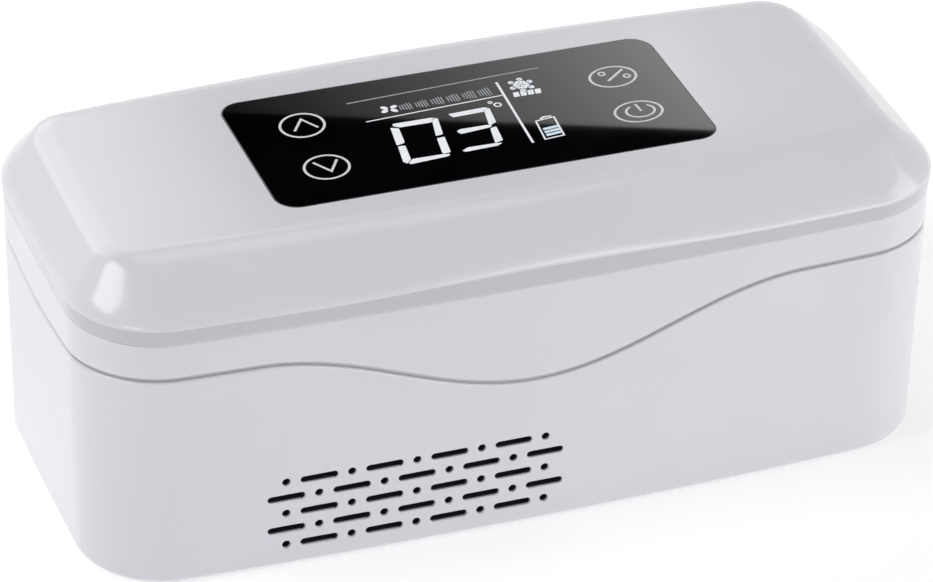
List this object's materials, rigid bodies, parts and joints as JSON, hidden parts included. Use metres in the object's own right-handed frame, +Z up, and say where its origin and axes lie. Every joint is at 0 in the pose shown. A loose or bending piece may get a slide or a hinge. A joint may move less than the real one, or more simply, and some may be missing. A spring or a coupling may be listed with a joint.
{
  "type": "insulin cooling case",
  "caption": "Portable cooled case for insulin pens: a long box with a hinged bevelled lid, a display window with touch keys, side vents, a thermoelectric cooler, a fan and a battery.",
  "frame": {"origin": "centre of the overall bounding box's underside, on the surface that the feet stand on", "axes": "+X along the case towards the end with the power inlet, +Y to the hinge side, +Z up; the vents face -Y"},
  "size_m": [0.21, 0.0992, 0.0805],
  "materials": {
    "shell": "glossy pale grey-white with a faint lilac cast",
    "window": "gloss black panel",
    "display": "dark display cell",
    "liner": "satin pale grey",
    "board": "green laminate",
    "black_plastic": "satin black",
    "rubber": "matt dark grey",
    "foam": "closed-cell foam",
    "bare_aluminium": "satin",
    "ceramic": "white ceramic",
    "steel": "zinc-plated",
    "nickel": "nickel-plated",
    "cell_wrap": "blue shrink film",
    "red_insulation": "red lead insulation"
  },
  "bodies": {
    "case": {"lower_housing": "shell", "upper_housing": "shell", "chamber_tray": "bare_aluminium", "tray_insulation": "foam", "cold_block": "bare_aluminium", "peltier_module": "ceramic", "heat_sink": "bare_aluminium", "main_board": "board", "dc_jack": "black_plastic", "battery_holder": "black_plastic", "battery_cell_left": "cell_wrap", "battery_cell_right": "cell_wrap", "battery_contact_rear": "nickel", "battery_contact_front": "nickel", "fan_lead": "black_plastic", "peltier_lead": "red_insulation", "battery_lead": "red_insulation", "fan_frame": "black_plastic", "foot_front_left": "rubber", "foot_front_right": "rubber", "foot_rear_left": "rubber", "foot_rear_right": "rubber", "housing_screw_front_left": "steel", "housing_screw_front_right": "steel", "housing_screw_rear_left": "steel", "housing_screw_rear_right": "steel", "base_magnet_left": "nickel", "base_magnet_right": "nickel", "hinge_pin_left": "steel", "hinge_pin_right": "steel"},
    "fan": {"fan_rotor": "black_plastic"},
    "lid": {"lid_shell": "shell", "display_window": "window", "lcd_module": "display", "display_board": "board", "touch_pad_up": "black_plastic", "touch_pad_down": "black_plastic", "touch_pad_unit": "black_plastic", "touch_pad_power": "black_plastic", "lid_liner": "liner", "lid_foam": "foam", "lid_seal": "rubber", "lid_magnet_left": "nickel", "lid_magnet_right": "nickel", "lid_screw_front_left": "steel", "lid_screw_front_right": "steel", "lid_screw_rear_left": "steel", "lid_screw_rear_right": "steel"}
  },
  "joints": [
    {"name": "lid_hinge", "type": "hinge", "parent": "case", "child": "lid", "pos_m": [0, 0.04685, 0.0646], "axis": [-1, 0, 0], "range_deg": [0, 100]},
    {"name": "fan_spin", "type": "hinge", "parent": "case", "child": "fan", "pos_m": [-0.0288, -0.00165, 0.009], "axis": [0, 0, 1], "continuous": true}
  ]
}
